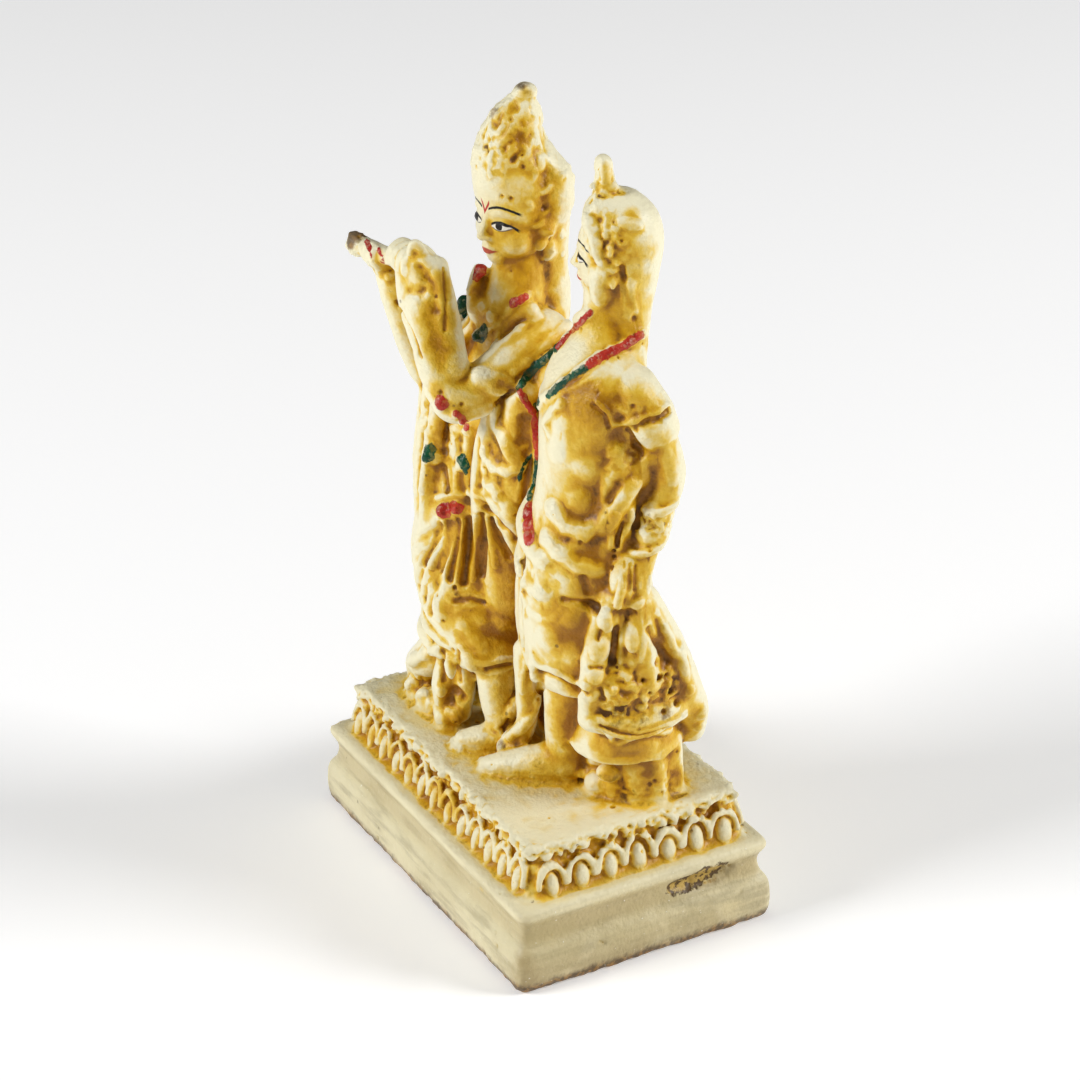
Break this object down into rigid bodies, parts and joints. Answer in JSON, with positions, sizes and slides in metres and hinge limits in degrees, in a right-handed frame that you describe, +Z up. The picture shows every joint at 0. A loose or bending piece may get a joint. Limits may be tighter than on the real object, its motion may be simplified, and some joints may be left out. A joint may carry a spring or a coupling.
{
  "type": "statue",
  "caption": "Small cast plaster statue of a flute player and a lady with a flower basket, standing together on a stepped plinth with a row of petals.",
  "frame": {"origin": "middle of the plinth's underside", "axes": "+Z up, the front of the statue faces -Y, +X to the right as seen from the front"},
  "size_m": [0.0646, 0.0434, 0.1216],
  "materials": {
    "plaster": "satin painted plaster, cream with an amber wash"
  },
  "bodies": {
    "root": {"statue": "plaster"}
  },
  "joints": []
}
